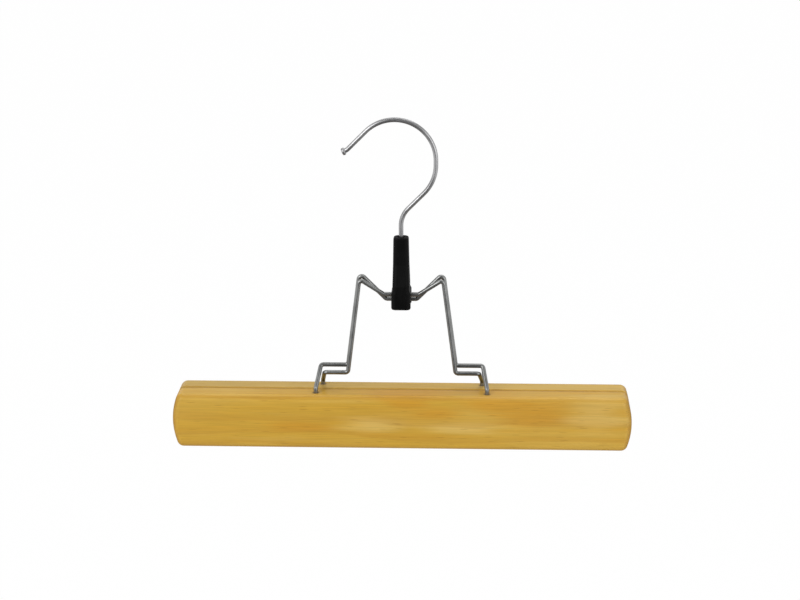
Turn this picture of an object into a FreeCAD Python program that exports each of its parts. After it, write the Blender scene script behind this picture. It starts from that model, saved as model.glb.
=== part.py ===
import FreeCAD, Part
import math
import os

import Sketcher
from FreeCAD import Placement, Rotation, Vector

# A clamping skirt hanger: two wooden bars on crossed spring-wire frames, hung from a wire hook.
# Lengths are in millimetres and angles in degrees. +Z is up, +X runs along the bars and -Y faces
# the viewer. The origin is the point of the hook that rests on the rail, straight above the stem.

SIZES = {
    # jaw bars
    "bar_length": 250.0,
    "bar_height": 30.4,
    "bar_thickness": 13.0,
    "bar_end_bulge": 3.1,
    "bar_corner_round": 3.8,
    "bar_edge_round": 3.6,
    "bar_inner_edge_round": 0.8,
    # felt strips between the bars
    "felt_length": 240.0,
    "felt_height": 29.2,
    "felt_thickness": 0.9,
    "felt_corner_round": 2.5,
    "jaw_gap": 0.3,
    # spring-wire frames
    "frame_wire": 2.4,
    "frame_bend_radius": 1.7,
    "frame_gap": 0.3,
    "wire_pass_gap": 0.4,
    "wire_end_depth": 16.5,
    "wire_hole_clearance": 0.05,
    "wire_hole_spare": 0.5,
    "wire_stub": 2.5,
    "front_hole_offset": 46.6,
    "front_foot_splay": 2.4,
    "rear_foot_splay": 1.6,
    "jog_inner_offset": 29.4,
    "jog_rise": 13.3,
    "jog_step": 3.6,
    "peak_offset": 22.6,
    "bow_rise": 37.8,
    "bow_step": 3.3,
    "front_peak_rise": 14.4,
    "rear_peak_rise": 8.4,
    "front_bow_half": 8.3,
    "rear_bow_half": 9.5,
    "bow_clearance": 0.3,
    "jaw_open_angle": 3.8,
    # hook
    "hook_wire": 2.5,
    "crown_radius": 21.8,
    "flank_run": 2.45,
    "neck_angle": 45.0,
    "neck_bend_radius": 13.2,
    "neck_run": 11.9,
    "stem_show": 6.1,
    "tip_angle": 135.0,
    "tip_run": 13.0,
    "tip_curl_radius": 6.0,
    "tip_curl_angle": 20.0,
    "tip_button": 4.0,
    "tip_button_length": 1.8,
    "tip_button_round": 0.6,
    "stem_head": 3.9,
    "stem_head_height": 1.5,
    # stirrup that hangs the bows on the stem
    "link_strip": 1.2,
    "link_width": 4.0,
    "link_inner_round": 0.7,
    "swivel_clearance": 0.06,
    # lock sleeve
    "sleeve_length": 39.05,
    "sleeve_skirt": 1.25,
    "sleeve_wall": 1.3,
    "sleeve_foot_width": 10.5,
    "sleeve_foot_height": 9.0,
    "sleeve_foot_bevel": 1.4,
    "sleeve_body_width": 9.1,
    "sleeve_shoulder_rise": 1.4,
    "sleeve_taper_height": 11.0,
    "sleeve_neck_width": 8.7,
    "sleeve_neck_depth": 9.0,
    "sleeve_top_width": 8.2,
    "sleeve_top_depth": 8.2,
    "sleeve_corner_round": 2.4,
    "sleeve_rim_round": 1.0,
    "sleeve_rim_angle": 45.0,
    "sleeve_travel": 3.6,
    "slide_clearance": 0.25,
    "bore_mouth_bevel": 0.9,
    # how far every cut runs past what it cuts
    "overrun": 1.0,
}

LAYOUT = {
    # hook, from the rail downwards
    "neck_reach": "(Sizes.neck_bend_radius + Sizes.crown_radius) * (1 - cos(Sizes.neck_angle))"
                  " + Sizes.neck_run * sin(Sizes.neck_angle)",
    "neck_rise": "(Sizes.neck_bend_radius + Sizes.crown_radius) * sin(Sizes.neck_angle)"
                 " + Sizes.neck_run * cos(Sizes.neck_angle) + Sizes.flank_run",
    "crown_offset": "neck_reach - Sizes.crown_radius",
    "crown_inside": "Sizes.crown_radius - Sizes.hook_wire / 2",
    "crown_level": "-sqrt(crown_inside ^ 2 - crown_offset ^ 2)",
    "stem_top_level": "crown_level - neck_rise",
    # sleeve, stirrup and bows
    "sleeve_top_level": "stem_top_level - Sizes.stem_show",
    "sleeve_bottom_level": "sleeve_top_level - Sizes.sleeve_length",
    "link_bottom_level": "sleeve_bottom_level + Sizes.sleeve_skirt",
    "link_floor_level": "link_bottom_level + Sizes.link_strip",
    "wire_room": "Sizes.frame_wire / 2 + Sizes.bow_clearance",
    "front_bow_level": "link_floor_level + wire_room",
    "rear_bow_level": "front_bow_level + Sizes.bow_step",
    "stem_end_level": "rear_bow_level + wire_room",
    "link_ceiling_level": "stem_end_level + Sizes.stem_head_height + Sizes.swivel_clearance",
    "link_top_level": "link_ceiling_level + Sizes.link_strip",
    "link_height": "link_top_level - link_bottom_level",
    "link_inside_height": "link_ceiling_level - link_floor_level",
    "stem_length": "stem_top_level - stem_end_level",
    # wire frames
    "frame_plane": "(Sizes.frame_wire + Sizes.frame_gap) / 2",
    "front_peak_level": "front_bow_level + Sizes.front_peak_rise",
    "rear_peak_level": "rear_bow_level + Sizes.rear_peak_rise",
    "front_jog_level": "front_bow_level - Sizes.bow_rise",
    "rear_jog_level": "front_jog_level - Sizes.jog_step",
    "rear_hole_offset": "Sizes.front_hole_offset - Sizes.frame_wire - Sizes.wire_pass_gap",
    "front_jog_end": "Sizes.front_hole_offset - Sizes.front_foot_splay",
    "rear_jog_end": "rear_hole_offset - Sizes.rear_foot_splay",
    # bars and felts
    "bar_top_level": "front_jog_level - Sizes.jog_rise",
    "bar_level": "bar_top_level - Sizes.bar_height / 2",
    "bar_top": "Sizes.bar_height / 2",
    "bar_flat_length": "Sizes.bar_length - 2 * Sizes.bar_end_bulge",
    "bar_end_radius": "((Sizes.bar_height / 2) ^ 2 + Sizes.bar_end_bulge ^ 2) / (2 * Sizes.bar_end_bulge)",
    "bar_depth": "Sizes.jaw_gap / 2 + Sizes.felt_thickness + Sizes.bar_thickness / 2",
    "felt_depth": "(Sizes.jaw_gap + Sizes.felt_thickness) / 2",
    "wire_hole_radius": "Sizes.frame_wire / 2 + Sizes.wire_hole_clearance",
    "wire_hole_depth": "Sizes.wire_end_depth + Sizes.wire_hole_spare",
    # how far each bow swings out when the jaws are fully open
    "front_spread": "Sizes.bow_rise * sin(Sizes.jaw_open_angle)",
    "rear_spread": "(Sizes.bow_rise + Sizes.bow_step) * sin(Sizes.jaw_open_angle)",
    # stirrup and sleeve, from the room that the open bows need
    "link_inside_depth": "2 * (frame_plane + rear_spread + wire_room)",
    "link_depth": "link_inside_depth + 2 * Sizes.link_strip",
    "link_hole_radius": "Sizes.hook_wire / 2 + Sizes.swivel_clearance",
    "link_bend_round": "Sizes.link_inner_round + Sizes.link_strip",
    "cavity_width": "Sizes.link_width + 2 * Sizes.slide_clearance",
    "cavity_depth": "link_depth + 2 * Sizes.slide_clearance",
    "cavity_height": "link_top_level + Sizes.slide_clearance - sleeve_bottom_level",
    "sleeve_depth": "cavity_depth + 2 * Sizes.sleeve_wall",
    "sleeve_foot_top": "Sizes.sleeve_foot_height + Sizes.sleeve_foot_bevel",
    "sleeve_shoulder": "cavity_height + Sizes.sleeve_shoulder_rise",
    "sleeve_neck": "sleeve_shoulder + Sizes.sleeve_taper_height",
    "rim_slope": "Sizes.sleeve_rim_round * (1 - cos(Sizes.sleeve_rim_angle))",
    "top_rim_start": "Sizes.sleeve_length - Sizes.sleeve_rim_round",
    "top_rim_slope": "Sizes.sleeve_length - rim_slope",
    "bore_radius": "Sizes.hook_wire / 2 + Sizes.slide_clearance",
    # sloping walls of the sleeve's slot, each parallel to the way its bow comes down
    "front_wall_run": "wire_room * sqrt(1 + (rear_spread / Sizes.sleeve_travel) ^ 2)",
    "rear_wall_run": "wire_room * sqrt(1 + (front_spread / Sizes.sleeve_travel) ^ 2)",
    "slot_top": "rear_bow_level + wire_room - sleeve_bottom_level",
    "front_wall_foot": "rear_bow_level - Sizes.sleeve_travel - sleeve_bottom_level",
    "rear_wall_foot": "front_bow_level - Sizes.sleeve_travel - sleeve_bottom_level",
    "slot_front_half": "frame_plane + front_wall_run + rear_spread",
    "slot_rear_half": "frame_plane + rear_wall_run + front_spread",
    "slot_top_front": "slot_front_half - (slot_top - front_wall_foot) * rear_spread / Sizes.sleeve_travel",
    "slot_top_rear": "slot_rear_half - (slot_top - rear_wall_foot) * front_spread / Sizes.sleeve_travel",
}

# Points of a sketched line or arc, and the sketch's own first axis and origin
START, END, CENTRE = 1, 2, 3
FIRST_AXIS = -1
ORIGIN = (FIRST_AXIS, START)

quarter_signs = ((1, 1), (-1, 1), (-1, -1), (1, -1))
upward_heading = 90.0
match_share = 0.001
volume_tolerance_share = 0.01

doc = FreeCAD.newDocument("skirt_hanger")


def fill_sheet(name, cells, prefix):
    """Writes one named value per row, each with its own alias."""
    sheet = doc.addObject("Spreadsheet::Sheet", name)
    for row, (alias, content) in enumerate(cells.items(), start=1):
        sheet.set(f"A{row}", alias)
        sheet.set(f"B{row}", f"{prefix}{content}")
        sheet.setAlias(f"B{row}", alias)
    return sheet


sizes = fill_sheet("Sizes", SIZES, "")
layout = fill_sheet("Layout", LAYOUT, "=")
doc.recompute()


def ref(alias):
    """The expression that names a value of either sheet."""
    return f"Sizes.{alias}" if alias in SIZES else f"Layout.{alias}"


def num(alias):
    """A value of either sheet as a number."""
    sheet = sizes if alias in SIZES else layout
    return float(sheet.get(alias))


# Sketches and features

def new_body(label):
    body = doc.addObject("PartDesign::Body", label)
    body.Label = label
    return body


def new_sketch(body, name, plane, lift=None):
    """A sketch on one of the body's own planes, raised along its normal by a named value."""
    sketch = body.newObject("Sketcher::SketchObject", f"{body.Name}_{name}")
    support = next(item for item in body.Origin.OriginFeatures if item.Role == plane)
    sketch.AttachmentSupport = [(support, "")]
    sketch.MapMode = "FlatFace"
    if lift:
        sketch.setExpression("AttachmentOffset.Base.z", ref(lift))
    return sketch


def bind(sketch, constraint, name, expression):
    index = sketch.addConstraint(constraint)
    sketch.renameConstraint(index, name)
    sketch.setExpression(f"Constraints.{name}", expression)


def hold_half(sketch, kind, line, point, sign, alias):
    """Holds one end of a line at half a named value to one side of the sketch's origin."""
    rule = Sketcher.Constraint(kind, *ORIGIN, line, point, sign * num(alias) / 2)
    bind(sketch, rule, f"{kind}_{line}_{point}", f"{sign} * {ref(alias)} / 2")


def close_outline(sketch, count):
    """Joins the end of each drawn line or arc to the start of the following one."""
    for index in range(count):
        following = (index + 1) % count
        sketch.addConstraint(Sketcher.Constraint("Coincident", index, END, following, START))


def add_polygon(sketch, corners):
    """A closed outline whose corners are pairs of (sign, alias) along the sketch's two axes."""
    points = [Vector(*[sign * num(alias) for sign, alias in corner], 0) for corner in corners]
    count = len(points)
    for index, point in enumerate(points):
        sketch.addGeometry(Part.LineSegment(point, points[(index + 1) % count]), False)
    close_outline(sketch, count)
    for index, corner in enumerate(corners):
        for kind, (sign, alias) in zip(("DistanceX", "DistanceY"), corner):
            rule = Sketcher.Constraint(kind, *ORIGIN, index, START, sign * num(alias))
            bind(sketch, rule, f"{kind}_{index}", f"{sign} * {ref(alias)}")


def add_rectangle(sketch, width, height, corner=None, inset=None):
    """A centred rectangle, with round corners and a margin taken off all round where these are named."""
    margin = num(inset) if inset else 0
    less = f" - {ref(inset)}" if inset else ""
    cut = num(corner) - margin if corner else 0
    half_x, half_y = num(width) / 2 - margin, num(height) / 2 - margin
    corners = [Vector(x * half_x, y * half_y, 0) for x, y in quarter_signs]
    steps = [Vector(x, y, 0) for x, y in ((-1, 0), (0, -1), (1, 0), (0, 1))]
    sides = (
        ("Horizontal", "DistanceY", 1, height),
        ("Vertical", "DistanceX", -1, width),
        ("Horizontal", "DistanceY", -1, height),
        ("Vertical", "DistanceX", 1, width),
    )
    count = len(corners)
    for index, (lie, kind, sign, alias) in enumerate(sides):
        start = corners[index] + steps[index] * cut
        end = corners[(index + 1) % count] - steps[index] * cut
        line = sketch.addGeometry(Part.LineSegment(start, end), False)
        sketch.addConstraint(Sketcher.Constraint(lie, line))
        level = start.y if kind == "DistanceY" else start.x
        rule = Sketcher.Constraint(kind, *ORIGIN, line, START, level)
        bind(sketch, rule, f"side_{index}", f"{sign} * ({ref(alias)} / 2{less})")
    if not corner:
        close_outline(sketch, count)
        return
    for index in range(count):
        following = (index + 1) % count
        back = -steps[following]
        centre = corners[following] - (steps[index] + back) * cut
        begin = math.atan2(back.y, back.x)
        circle = Part.Circle(centre, Vector(0, 0, 1), cut)
        arc = sketch.addGeometry(Part.ArcOfCircle(circle, begin, begin + math.pi / 2), False)
        sketch.addConstraint(Sketcher.Constraint("Tangent", index, END, arc, START))
        sketch.addConstraint(Sketcher.Constraint("Tangent", arc, END, following, START))
        rule = Sketcher.Constraint("Radius", arc, cut)
        bind(sketch, rule, f"corner_{index}", f"{ref(corner)}{less}")


def add_circle(sketch, radius, offset=None, sign=1):
    """A circle on the sketch's first axis, at a named offset from the middle."""
    place = sign * num(offset) if offset else 0
    circle = Part.Circle(Vector(place, 0, 0), Vector(0, 0, 1), num(radius))
    index = sketch.addGeometry(circle, False)
    bind(sketch, Sketcher.Constraint("Radius", index, num(radius)), f"radius_{index}", ref(radius))
    if offset:
        sketch.addConstraint(Sketcher.Constraint("PointOnObject", index, CENTRE, FIRST_AXIS))
        rule = Sketcher.Constraint("DistanceX", *ORIGIN, index, CENTRE, place)
        bind(sketch, rule, f"offset_{index}", f"{sign} * {ref(offset)}")
    else:
        sketch.addConstraint(Sketcher.Constraint("Coincident", index, CENTRE, *ORIGIN))


def pad(body, sketch, length):
    """Raises a sketch evenly to both sides of its plane."""
    feature = body.newObject("PartDesign::Pad", f"{sketch.Name}_pad")
    feature.Profile = sketch
    feature.SideType = "Symmetric"
    feature.setExpression("Length", ref(length))
    doc.recompute()


def pocket(body, sketch, length, both_sides=False, upwards=False):
    """Cuts a sketch into the body, and stops if the cut removed nothing or left nothing."""
    before = body.Shape.Volume
    feature = body.newObject("PartDesign::Pocket", f"{sketch.Name}_pocket")
    feature.Profile = sketch
    feature.SideType = "Symmetric" if both_sides else "One side"
    feature.Reversed = upwards
    feature.setExpression("Length", length)
    doc.recompute()
    if not 0 < body.Shape.Volume < before:
        raise RuntimeError(f"{feature.Name} cuts nothing or everything")


def soften(body, kind, alias, chosen):
    """Rounds or bevels the edges of the last feature that the test picks."""
    base = body.Tip
    names = [f"Edge{index}" for index, edge in enumerate(base.Shape.Edges, start=1) if chosen(edge)]
    feature = body.newObject(f"PartDesign::{kind}", f"{base.Name}_{kind.lower()}")
    feature.Base = (base, names)
    feature.setExpression("Radius" if kind == "Fillet" else "Size", ref(alias))
    doc.recompute()


def place(item, **axes):
    """Binds a sub-part's place along the named axes."""
    for axis, expression in axes.items():
        item.setExpression(f"Placement.Base.{axis}", expression)


def same(first, second):
    return math.isclose(first, second, abs_tol=num("overrun") * match_share)


def on_plane(edge, axis, value):
    """True where the whole edge lies at one value of an axis."""
    box = edge.BoundBox
    return same(getattr(box, f"{axis}Min"), value) and same(getattr(box, f"{axis}Max"), value)


def along(edge, axis):
    """True where the edge is straight and runs along an axis."""
    box = edge.BoundBox
    others = [name for name in "XYZ" if name != axis]
    return all(same(getattr(box, f"{name}Length"), 0) for name in others)


# Bars and felts

def make_bar(label, side, hole_offset):
    """One jaw bar; side is -1 in front and +1 behind, and its felt side faces the middle."""
    body = new_body(label)
    outline = new_sketch(body, "outline", "XZ_Plane")
    half_flat, half_height = num("bar_flat_length") / 2, num("bar_height") / 2
    half_length = num("bar_length") / 2
    corners = [Vector(x * half_flat, y * half_height, 0) for x, y in quarter_signs]
    right_top, left_top, left_low, right_low = corners
    top = outline.addGeometry(Part.LineSegment(right_top, left_top), False)
    left = outline.addGeometry(Part.Arc(left_top, Vector(-half_length, 0, 0), left_low), False)
    low = outline.addGeometry(Part.LineSegment(left_low, right_low), False)
    right = outline.addGeometry(Part.Arc(right_low, Vector(half_length, 0, 0), right_top), False)
    close_outline(outline, len(corners))
    for line, sign in ((top, 1), (low, -1)):
        outline.addConstraint(Sketcher.Constraint("Horizontal", line))
        hold_half(outline, "DistanceX", line, START, sign, "bar_flat_length")
        hold_half(outline, "DistanceX", line, END, -sign, "bar_flat_length")
        hold_half(outline, "DistanceY", line, START, sign, "bar_height")
    for arc in (left, right):
        rule = Sketcher.Constraint("Radius", arc, num("bar_end_radius"))
        bind(outline, rule, f"end_{arc}", ref("bar_end_radius"))
    pad(body, outline, "bar_thickness")
    face = side * num("bar_thickness") / 2
    soften(body, "Fillet", "bar_corner_round", lambda edge: along(edge, "Y"))
    soften(body, "Fillet", "bar_edge_round", lambda edge: on_plane(edge, "Y", face))
    soften(body, "Fillet", "bar_inner_edge_round", lambda edge: on_plane(edge, "Y", -face))
    holes = new_sketch(body, "wire_holes", "XY_Plane", "bar_top")
    for sign in (-1, 1):
        add_circle(holes, "wire_hole_radius", hole_offset, sign)
    pocket(body, holes, ref("wire_hole_depth"))
    place(body, y=f"{side} * {ref('bar_depth')}", z=ref("bar_level"))
    return body


def make_felt(label, side):
    """The soft lining of one bar, a flat strip with round corners."""
    body = new_body(label)
    outline = new_sketch(body, "outline", "XZ_Plane")
    add_rectangle(outline, "felt_length", "felt_height", "felt_corner_round")
    pad(body, outline, "felt_thickness")
    place(body, y=f"{side} * {ref('felt_depth')}", z=ref("bar_level"))
    return body


# Bent wire

def rounded_path(points, radius):
    """Straight runs through the points, with a tangent arc of one radius at every turn."""
    edges = []
    start = points[0]
    for before, corner, after in zip(points, points[1:], points[2:]):
        inward = (corner - before).normalize()
        outward = (after - corner).normalize()
        half_turn = inward.getAngle(outward) / 2
        cut = radius * math.tan(half_turn)
        first, last = corner - inward * cut, corner + outward * cut
        middle = corner + (outward - inward).normalize() * (radius / math.cos(half_turn) - radius)
        edges.append(Part.LineSegment(start, first).toShape())
        edges.append(Part.Arc(first, middle, last).toShape())
        start = last
    edges.append(Part.LineSegment(start, points[-1]).toShape())
    return Part.Wire(edges)


def turned(arm, angle):
    """A vector of the XZ plane turned to the left, as the viewer sees it."""
    return Rotation(Vector(0, -1, 0), angle).multVec(arm)


def walked_path(start, heading, steps):
    """Runs and bends in the XZ plane; a bend is (radius, angle), turning left where it is positive."""
    edges = []
    point = start
    for length, turn in steps:
        ahead = turned(Vector(1, 0, 0), heading)
        if turn:
            arm = Vector(ahead.z, 0, -ahead.x) * math.copysign(length, turn)
            centre = point - arm
            middle = centre + turned(arm, turn / 2)
            end = centre + turned(arm, turn)
            edges.append(Part.Arc(point, middle, end).toShape())
            heading += turn
        else:
            end = point + ahead * length
            edges.append(Part.LineSegment(point, end).toShape())
        point = end
    return Part.Wire(edges), point, heading


def swept_rod(path, diameter):
    """A round rod along a path, checked against its section times its length."""
    first = path.OrderedEdges[0]
    begin, radius = first.FirstParameter, diameter / 2
    circle = Part.Circle(first.valueAt(begin), first.tangentAt(begin), radius)
    rod = path.makePipeShell([Part.Wire(circle.toShape())], True, False)
    expected = math.pi * radius ** 2 * path.Length
    if not math.isclose(rod.Volume, expected, rel_tol=volume_tolerance_share):
        raise RuntimeError(f"a bent wire came out at {rod.Volume:.1f} instead of {expected:.1f}")
    return rod


def make_frame(label, side, peak_level, bow_level, bow_half, jog_level, jog_end, hole_offset):
    """One M-shaped frame; it stands in the bar on its own side and crosses to the other side above."""
    plane, bar = -side * num("frame_plane"), side * num("bar_depth")
    outer, top = num(hole_offset), num("bar_top_level")
    right = [
        Vector(num(bow_half), plane, num(bow_level)),
        Vector(num("peak_offset"), plane, num(peak_level)),
        Vector(num("jog_inner_offset"), plane, num(jog_level)),
        Vector(num(jog_end), plane, num(jog_level)),
        Vector(outer, bar, top + num("wire_stub")),
        Vector(outer, bar, top - num("wire_end_depth")),
    ]
    left = [Vector(-point.x, point.y, point.z) for point in reversed(right)]
    path = rounded_path(left + right, num("frame_bend_radius"))
    frame = doc.addObject("Part::Feature", label)
    frame.Shape = swept_rod(path, num("frame_wire"))
    frame.Placement = Placement()
    return frame


def make_hook():
    """The rail hook: stem, neck, crown and curled tip, with an upset head and tip button."""
    path, tip, heading = walked_path(Vector(0, 0, num("stem_end_level")), upward_heading, (
        (num("stem_length"), 0),
        (num("neck_bend_radius"), -num("neck_angle")),
        (num("neck_run"), 0),
        (num("crown_radius"), num("neck_angle")),
        (num("flank_run"), 0),
        (num("crown_radius"), num("tip_angle")),
        (num("tip_run"), 0),
        (num("tip_curl_radius"), -num("tip_curl_angle")),
        (num("tip_button_length"), 0),
    ))
    rod = doc.addObject("Part::Feature", "hook_rod")
    rod.Shape = swept_rod(path, num("hook_wire"))
    rod.Placement = Placement()
    head = doc.addObject("Part::Cylinder", "hook_head")
    head.setExpression("Radius", f"{ref('stem_head')} / 2")
    head.setExpression("Height", ref("stem_head_height"))
    place(head, z=ref("stem_end_level"))
    button = doc.addObject("Part::Cylinder", "hook_button")
    button.setExpression("Radius", f"{ref('tip_button')} / 2")
    button.setExpression("Height", ref("tip_button_length"))
    back = turned(Vector(-1, 0, 0), heading)
    button.Placement = Placement(tip, Rotation(Vector(0, 0, 1), back))
    doc.recompute()
    smooth = doc.addObject("Part::Fillet", "hook_button_round")
    smooth.Base = button
    edges = enumerate(button.Shape.Edges, start=1)
    rims = [index for index, edge in edges if edge.Closed]
    smooth.Edges = [(index, num("tip_button_round"), num("tip_button_round")) for index in rims]
    hook = doc.addObject("Part::MultiFuse", "hook")
    hook.Shapes = [rod, head, smooth]
    hook.Refine = True
    return hook


# Stirrup and sleeve

def make_link():
    """A bent strip round both bows, with a hole in its top for the stem to turn in."""
    body = new_body("swivel_link")
    ring = new_sketch(body, "ring", "YZ_Plane")
    add_rectangle(ring, "link_depth", "link_height", "link_bend_round")
    pad(body, ring, "link_width")
    window = new_sketch(body, "window", "YZ_Plane")
    add_rectangle(window, "link_inside_depth", "link_inside_height", "link_inner_round")
    pocket(body, window, f"{ref('link_width')} + {ref('overrun')}", both_sides=True)
    hole = new_sketch(body, "stem_hole", "XY_Plane")
    add_circle(hole, "link_hole_radius")
    pocket(body, hole, ref("link_height"), upwards=True)
    place(body, z=f"({ref('link_bottom_level')} + {ref('link_top_level')}) / 2")
    return body


def make_sleeve():
    """The sliding sleeve: a deep foot over the stirrup, tapering to a slim tube on the stem."""
    body = new_body("lock_sleeve")
    stages = (
        (None, "sleeve_foot_width", "sleeve_depth", "sleeve_rim_round"),
        ("rim_slope", "sleeve_foot_width", "sleeve_depth", "rim_slope"),
        ("sleeve_rim_round", "sleeve_foot_width", "sleeve_depth", None),
        ("sleeve_foot_height", "sleeve_foot_width", "sleeve_depth", None),
        ("sleeve_foot_top", "sleeve_body_width", "sleeve_depth", None),
        ("sleeve_shoulder", "sleeve_body_width", "sleeve_depth", None),
        ("sleeve_neck", "sleeve_neck_width", "sleeve_neck_depth", None),
        ("top_rim_start", "sleeve_top_width", "sleeve_top_depth", None),
        ("top_rim_slope", "sleeve_top_width", "sleeve_top_depth", "rim_slope"),
        ("sleeve_length", "sleeve_top_width", "sleeve_top_depth", "sleeve_rim_round"),
    )
    sections = []
    for index, (level, width, depth, inset) in enumerate(stages):
        section = new_sketch(body, f"section_{index}", "XY_Plane", level)
        add_rectangle(section, width, depth, "sleeve_corner_round", inset)
        sections.append(section)
    loft = body.newObject("PartDesign::AdditiveLoft", "sleeve_loft")
    loft.Profile = sections[0]
    loft.Sections = sections[1:]
    loft.Ruled = True
    doc.recompute()
    top = num("sleeve_length")
    cavity = new_sketch(body, "cavity", "XY_Plane")
    add_rectangle(cavity, "cavity_width", "cavity_depth")
    pocket(body, cavity, ref("cavity_height"), upwards=True)
    slot = new_sketch(body, "slot", "YZ_Plane")
    add_polygon(slot, (
        ((-1, "slot_front_half"), (-1, "overrun")),
        ((1, "slot_rear_half"), (-1, "overrun")),
        ((1, "slot_rear_half"), (1, "rear_wall_foot")),
        ((1, "slot_top_rear"), (1, "slot_top")),
        ((-1, "slot_top_front"), (1, "slot_top")),
        ((-1, "slot_front_half"), (1, "front_wall_foot")),
    ))
    pocket(body, slot, f"{ref('sleeve_foot_width')} + {ref('overrun')}", both_sides=True)
    bore = new_sketch(body, "bore", "XY_Plane", "sleeve_length")
    add_circle(bore, "bore_radius")
    pocket(body, bore, ref("sleeve_length"))
    soften(body, "Chamfer", "bore_mouth_bevel",
           lambda edge: on_plane(edge, "Z", top) and same(edge.BoundBox.XLength, 2 * num("bore_radius")))
    place(body, z=ref("sleeve_bottom_level"))
    return body


parts = [
    make_hook(),
    make_link(),
    make_sleeve(),
    make_frame("front_wire_frame", -1, "front_peak_level", "front_bow_level", "front_bow_half",
               "front_jog_level", "front_jog_end", "front_hole_offset"),
    make_frame("rear_wire_frame", 1, "rear_peak_level", "rear_bow_level", "rear_bow_half",
               "rear_jog_level", "rear_jog_end", "rear_hole_offset"),
    make_bar("front_bar", -1, "front_hole_offset"),
    make_bar("rear_bar", 1, "rear_hole_offset"),
    make_felt("front_felt", -1),
    make_felt("rear_felt", 1),
]
doc.recompute()

for item in doc.Objects:
    if "Invalid" in item.State or "Error" in item.State:
        raise RuntimeError(f"{item.Label} did not build: {item.State}")
for part in parts:
    if part.Shape.isNull() or not part.Shape.isValid() or len(part.Shape.Solids) != 1:
        raise RuntimeError(f"{part.Label} is not one sound solid")

os.makedirs("parts", exist_ok=True)
for part in parts:
    part.Shape.exportStep(f"parts/{part.Label}.step")
    box = part.Shape.BoundBox
    print(f"{part.Label}: {part.Shape.Volume:.1f} mm3, x {box.XMin:.2f} to {box.XMax:.2f},"
          f" y {box.YMin:.2f} to {box.YMax:.2f}, z {box.ZMin:.2f} to {box.ZMax:.2f}")
print(f"jaw pivot: y {num('frame_plane'):.4f}, z {num('front_jog_level'):.4f};"
      f" bar level {num('bar_level'):.4f}; stem end {num('stem_end_level'):.4f}")
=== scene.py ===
import math

import bpy
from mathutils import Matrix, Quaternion, Vector, noise


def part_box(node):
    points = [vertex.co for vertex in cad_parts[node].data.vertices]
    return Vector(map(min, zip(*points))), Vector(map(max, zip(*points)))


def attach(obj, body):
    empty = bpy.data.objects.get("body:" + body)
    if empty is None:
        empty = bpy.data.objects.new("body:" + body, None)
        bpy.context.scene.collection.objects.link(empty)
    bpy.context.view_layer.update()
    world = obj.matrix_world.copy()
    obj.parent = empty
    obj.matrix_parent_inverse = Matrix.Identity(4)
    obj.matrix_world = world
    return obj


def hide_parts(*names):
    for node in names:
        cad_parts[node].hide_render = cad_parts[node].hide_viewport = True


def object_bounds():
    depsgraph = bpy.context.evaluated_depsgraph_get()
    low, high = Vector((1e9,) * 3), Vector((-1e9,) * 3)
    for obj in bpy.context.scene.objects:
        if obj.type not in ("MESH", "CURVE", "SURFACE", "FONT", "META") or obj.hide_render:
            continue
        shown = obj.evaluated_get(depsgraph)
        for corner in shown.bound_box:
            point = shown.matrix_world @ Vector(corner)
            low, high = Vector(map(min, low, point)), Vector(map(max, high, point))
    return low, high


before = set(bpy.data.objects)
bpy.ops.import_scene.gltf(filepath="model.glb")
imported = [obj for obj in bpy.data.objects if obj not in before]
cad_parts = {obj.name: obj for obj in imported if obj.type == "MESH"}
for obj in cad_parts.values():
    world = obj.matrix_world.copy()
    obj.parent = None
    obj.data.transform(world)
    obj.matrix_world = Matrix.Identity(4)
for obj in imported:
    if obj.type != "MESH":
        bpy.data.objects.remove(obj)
cad_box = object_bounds()

# A clamping skirt hanger: two varnished wooden bars on crossed plated wires, a black sleeve that
# locks them and a wire hook. Lengths are in metres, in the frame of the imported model.

MM = 0.001

# Camera, at the photograph's viewing angle
VIEW_AZIMUTH = math.radians(2.74)
VIEW_ELEVATION = math.radians(16.6)
VIEW_ROLL = math.radians(-0.32)
VIEW_DISTANCE = 1.1
VIEW_TARGET = Vector((-0.77, 0, -97.45)) * MM
SENSOR_WIDTH = 36.0
FOCAL_SHARE = 2.546

# Studio: a white floor and room, dimmer in the middle of what the wires mirror
FLOOR_DROP = 0.25
FLOOR_HALF_WIDTH = 6.0
FLOOR_ALBEDO = 0.86
FLOOR_GLOW_NEAR = 0.5
FLOOR_GLOW_FAR = 0.99
FLOOR_SHADOW_ZONE = (0.12, 0.32)
WORLD_LIGHT = 0.55
MIRRORED_DIM = 0.16
MIRRORED_BACKDROP = 0.5
MIRRORED_BACKDROP_TURN = (0.5, 0.95)
MIRRORED_WALLS = (0.08, 0.48)
MIRRORED_FLOOR_SIDES = (0.08, 0.6)
WHITE = (1.0, 1.0, 1.0, 1.0)

# Lamps: name, place, side and power
LAMPS = (
    ("key_light", (-0.75, -0.95, 0.55), 0.7, 6.9),
    ("fill_light", (0.95, -0.85, 0.15), 0.8, 3.2),
    ("top_light", (0.05, 0.25, 0.85), 0.8, 4.2),
)
LAMP_AIM = (0.0, 0.0, -0.12)


# Colours

FULL_LEVEL = 255
DARK_LIMIT = 0.04045
DARK_SLOPE = 12.92
CURVE_OFFSET = 0.055
CURVE_POWER = 2.4


def linear(level):
    """One channel of a colour as it looks on screen, from 0 to 255, as light."""
    share = level / FULL_LEVEL
    if share <= DARK_LIMIT:
        return share / DARK_SLOPE
    return ((share + CURVE_OFFSET) / (1 + CURVE_OFFSET)) ** CURVE_POWER


def paint(red, green, blue):
    """A colour as it looks on screen, as light."""
    return (linear(red), linear(green), linear(blue), 1.0)


def toned(colour, share):
    """The same colour with more or less light."""
    return tuple(level * share for level in colour[:3]) + (1.0,)


# Node trees

def by_identifier(sockets, identifier):
    return next(socket for socket in sockets if socket.identifier == identifier)


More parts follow.
